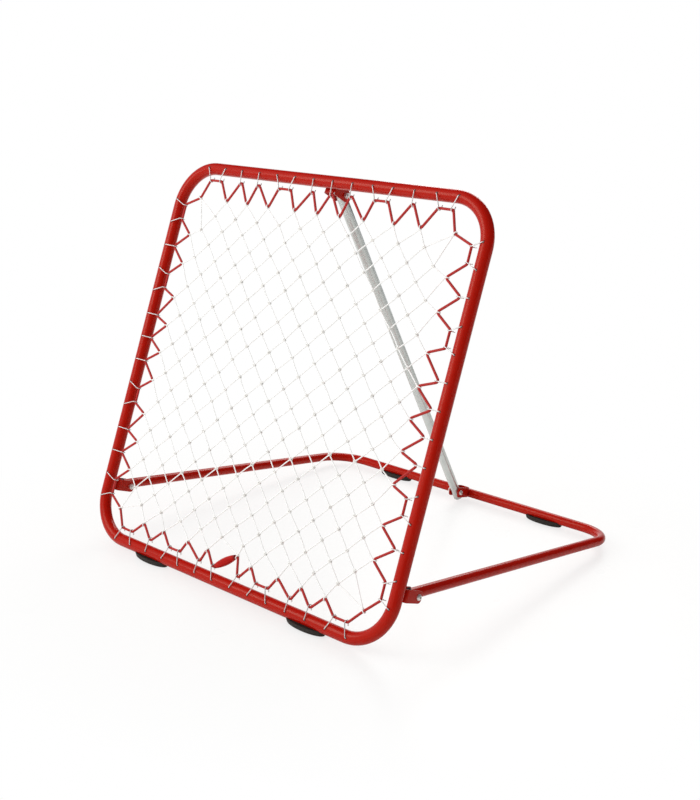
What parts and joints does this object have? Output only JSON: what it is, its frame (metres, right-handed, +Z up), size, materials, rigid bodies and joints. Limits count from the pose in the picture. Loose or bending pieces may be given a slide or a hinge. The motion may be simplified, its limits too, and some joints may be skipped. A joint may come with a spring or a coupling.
{
  "type": "tchoukball frame",
  "caption": "Folding rebound goal for tchoukball: a tilted square tube frame with a knotted net on elastic cord and hooks, hinged to a U-shaped base and held by a strut.",
  "frame": {"origin": "on the floor, in the middle of the footprint of the standing goal", "axes": "+X to the right seen from the net side, +Y to the back, from the net towards the crossbar of the base, +Z up"},
  "size_m": [1.0098, 0.994, 0.9542],
  "materials": {
    "red_paint": "glossy powder coat on steel tube and plate",
    "zinc_tube": "bright zinc on steel tube",
    "zinc_steel": "bright zinc on wire and fasteners",
    "black_rubber": "matt",
    "black_plastic": "matt moulded",
    "white_twine": "knotted twine",
    "red_cord": "braided elastic",
    "red_plastic": "moulded"
  },
  "bodies": {
    "base": {"base_frame": "red_paint", "left_arm_cap": "black_plastic", "right_arm_cap": "black_plastic", "rear_bracket": "red_paint", "rear_bolt": "zinc_steel", "rear_nut": "zinc_steel", "rear_left_foot": "black_rubber", "rear_right_foot": "black_rubber"},
    "front": {"front_frame": "red_paint", "left_hinge_bracket": "red_paint", "left_hinge_bolt": "zinc_steel", "left_hinge_nut": "zinc_steel", "right_hinge_bracket": "red_paint", "right_hinge_bolt": "zinc_steel", "right_hinge_nut": "zinc_steel", "top_bracket": "red_paint", "top_bolt": "zinc_steel", "top_nut": "zinc_steel", "front_left_foot": "black_rubber", "front_right_foot": "black_rubber", "net": "white_twine", "elastic_cord": "red_cord", "cord_sleeve": "red_plastic", "left_hook_1": "zinc_steel", "left_hook_2": "zinc_steel", "left_hook_3": "zinc_steel", "left_hook_4": "zinc_steel", "left_hook_5": "zinc_steel", "left_hook_6": "zinc_steel", "left_hook_7": "zinc_steel", "left_hook_8": "zinc_steel", "left_hook_9": "zinc_steel", "left_hook_10": "zinc_steel", "left_hook_11": "zinc_steel", "left_hook_12": "zinc_steel", "left_hook_13": "zinc_steel", "left_hook_14": "zinc_steel", "right_hook_1": "zinc_steel", "right_hook_2": "zinc_steel", "right_hook_3": "zinc_steel", "right_hook_4": "zinc_steel", "right_hook_5": "zinc_steel", "right_hook_6": "zinc_steel", "right_hook_7": "zinc_steel", "right_hook_8": "zinc_steel", "right_hook_9": "zinc_steel", "right_hook_10": "zinc_steel", "right_hook_11": "zinc_steel", "right_hook_12": "zinc_steel", "right_hook_13": "zinc_steel", "right_hook_14": "zinc_steel"},
    "strut": {"strut": "zinc_tube"}
  },
  "joints": [
    {"name": "frame_fold", "type": "hinge", "parent": "base", "child": "front", "pos_m": [0, -0.37803, 0.1217], "axis": [-1, 0, 0], "range_deg": [0, 75]},
    {"name": "strut_swing", "type": "hinge", "parent": "front", "child": "strut", "pos_m": [0, -0.10696, 0.90563], "axis": [-1, 0, 0], "range_deg": [0, 50.42]}
  ],
  "couplings": [
    {"joint": "strut_swing", "follows": "frame_fold", "ratio": 0.67223}
  ]
}
